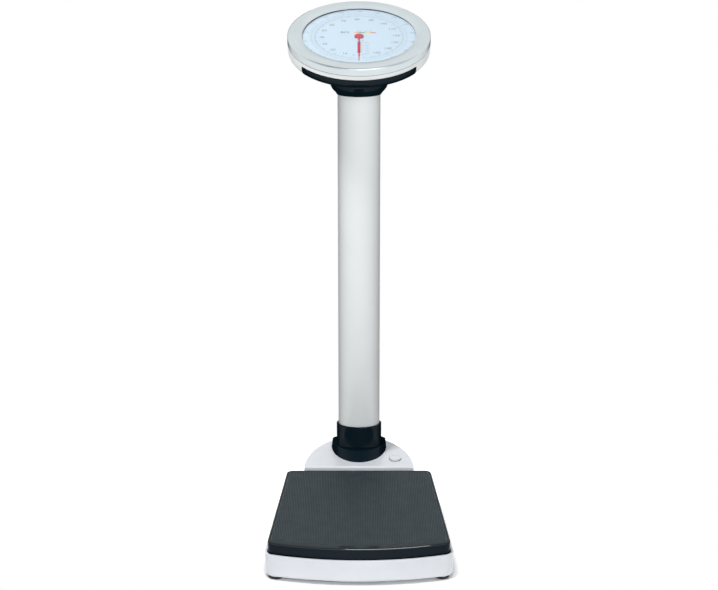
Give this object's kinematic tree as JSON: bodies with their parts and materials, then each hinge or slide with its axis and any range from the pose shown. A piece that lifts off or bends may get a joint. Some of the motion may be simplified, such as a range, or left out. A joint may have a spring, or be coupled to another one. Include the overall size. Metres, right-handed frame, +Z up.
{
  "type": "mechanical column scale",
  "caption": "Person-weighing column scale: tapered platform base, oval column and a tilted round dial head, driven by knife-edge levers, a pull rod, a bell crank and a rack.",
  "frame": {"origin": "middle of the bounding box's base, on the floor plane under the feet", "axes": "+Z up along the column, the front where a person steps on faces -Y, +X to the right as seen from the front"},
  "size_m": [0.3572, 0.56, 0.998],
  "materials": {
    "base_shell": "cool white moulded plastic, semi-gloss",
    "foot_rubber": "matte moulded rubber",
    "castor_plastic": "dark grey nylon",
    "zinc_steel": "bright zinc plate",
    "bright_steel": "turned bright steel",
    "knife_steel": "hardened and ground steel",
    "lever_iron": "cast and primed",
    "spring_steel": "drawn spring wire",
    "brass": "turned and stamped brass",
    "black_gloss": "black moulded plastic, glossy",
    "mat_rubber": "slate rubber with fine grooves",
    "column_silver": "satin silver lacquer",
    "head_shell": "silver grey moulded plastic",
    "bezel_metal": "satin pressed aluminium",
    "gasket_rubber": "matte",
    "glass": "clear float glass",
    "dial_print": "pale enamel, printed scales",
    "disc_print": "black with printed colour zones",
    "pointer_red": "red lacquer"
  },
  "bodies": {
    "base": {"base_housing": "base_shell", "rear_deck_cover": "base_shell", "foot_front_left": "foot_rubber", "foot_front_right": "foot_rubber", "foot_rear_left": "foot_rubber", "foot_rear_right": "foot_rubber", "castor_brackets": "zinc_steel", "castor_axle": "zinc_steel", "column_socket": "zinc_steel", "socket_bolts": "bright_steel", "fulcrum_stands": "zinc_steel", "fulcrum_bearings": "knife_steel", "zero_bracket": "zinc_steel", "spring_anchor": "zinc_steel", "column": "column_silver", "column_sleeve": "black_gloss", "column_flange": "black_gloss", "column_screws": "bright_steel", "head_bracket": "zinc_steel", "neck_collar": "black_gloss", "lower_housing": "head_shell", "grip_band": "black_gloss", "housing_screws": "bright_steel", "crank_pivot_pin": "bright_steel", "movement_pillars": "bright_steel", "movement_plate_lower": "brass", "movement_plate_upper": "brass", "spindle_bushes": "brass", "rack_guide": "bright_steel", "dial_carrier": "head_shell", "dial_plate": "dial_print", "dial_gasket": "gasket_rubber", "glass": "glass", "bezel": "bezel_metal"},
    "platform": {"platform_tray": "black_gloss", "rubber_mat": "mat_rubber", "platform_frame": "zinc_steel", "platform_bearings": "knife_steel"},
    "long_lever": {"long_lever": "lever_iron", "long_lever_knives": "knife_steel"},
    "short_lever": {"short_lever": "lever_iron", "short_lever_knives": "knife_steel"},
    "lever_link": {"lever_link": "zinc_steel"},
    "pull_rod": {"pull_rod": "bright_steel", "rod_stirrup": "zinc_steel", "rod_clevis": "bright_steel", "weighing_spring": "spring_steel"},
    "bell_crank": {"bell_crank": "lever_iron"},
    "rack": {"rack": "knife_steel"},
    "spindle": {"spindle": "bright_steel", "pinion": "brass", "bmi_disc": "disc_print", "pointer": "pointer_red", "pointer_cap": "pointer_red"},
    "zero_knob": {"zero_knob": "base_shell", "zero_screw": "bright_steel"},
    "zero_nut": {"zero_nut": "brass"},
    "castor_wheel_left": {"castor_wheel_left": "castor_plastic"},
    "castor_wheel_right": {"castor_wheel_right": "castor_plastic"}
  },
  "joints": [
    {"name": "pointer_turn", "type": "hinge", "parent": "base", "child": "spindle", "pos_m": [0, 0.13915, 0.96331], "axis": [0, 0.2588, -0.9659], "range_deg": [-2, 358]},
    {"name": "rack_slide", "type": "slide", "parent": "base", "child": "rack", "axis": [0, -0.9659, -0.2588], "range_m": [-0.0003, 0.03017]},
    {"name": "crank_swing", "type": "hinge", "parent": "base", "child": "bell_crank", "pos_m": [0, 0.198, 0.91179], "axis": [1, 0, 0], "range_deg": [-0.5, 38.38]},
    {"name": "rod_pull", "type": "slide", "parent": "base", "child": "pull_rod", "axis": [0, 0, -1], "range_m": [-0.0003, 0.02018], "deforming": ["weighing_spring"]},
    {"name": "long_lever_swing", "type": "hinge", "parent": "base", "child": "long_lever", "pos_m": [0, -0.225, 0.04], "axis": [-1, 0, 0], "range_deg": [-0.05, 2.94]},
    {"name": "short_lever_swing", "type": "hinge", "parent": "base", "child": "short_lever", "pos_m": [0, 0.065, 0.027], "axis": [1, 0, 0], "range_deg": [-0.05, 2.94]},
    {"name": "platform_sink", "type": "slide", "parent": "base", "child": "platform", "axis": [0, 0, -1], "range_m": [0, 0.00302], "stiffness_N_per_m": 502760, "springref_m": -0.00015},
    {"name": "link_drop", "type": "slide", "parent": "base", "child": "lever_link", "axis": [0, 0, -1], "range_m": [-0.0001, 0.0075]},
    {"name": "zero_turn", "type": "hinge", "parent": "base", "child": "zero_knob", "pos_m": [0.074, 0.129, 0.078], "axis": [0, 0, 1], "range_deg": [-280, 280]},
    {"name": "zero_nut_slide", "type": "slide", "parent": "base", "child": "zero_nut", "axis": [0, 0, 1], "range_m": [-0.00075, 0.00075]},
    {"name": "castor_left_roll", "type": "hinge", "parent": "base", "child": "castor_wheel_left", "pos_m": [-0.03, 0.227, 0.0225], "axis": [1, 0, 0], "continuous": true},
    {"name": "castor_right_roll", "type": "hinge", "parent": "base", "child": "castor_wheel_right", "pos_m": [0.03, 0.227, 0.0225], "axis": [1, 0, 0], "continuous": true}
  ],
  "couplings": [
    {"joint": "long_lever_swing", "follows": "platform_sink", "rad_per_m": 16.667},
    {"joint": "short_lever_swing", "follows": "platform_sink", "rad_per_m": 16.667},
    {"joint": "link_drop", "follows": "platform_sink", "ratio": 2.4167},
    {"joint": "rod_pull", "follows": "platform_sink", "ratio": 6.55},
    {"joint": "crank_swing", "follows": "platform_sink", "rad_per_m": 218.33},
    {"joint": "rack_slide", "follows": "platform_sink", "ratio": 9.825},
    {"joint": "pointer_turn", "follows": "platform_sink", "rad_per_m": 2046.9},
    {"joint": "zero_turn", "follows": "zero_nut_slide", "rad_per_m": 6283.2}
  ]
}
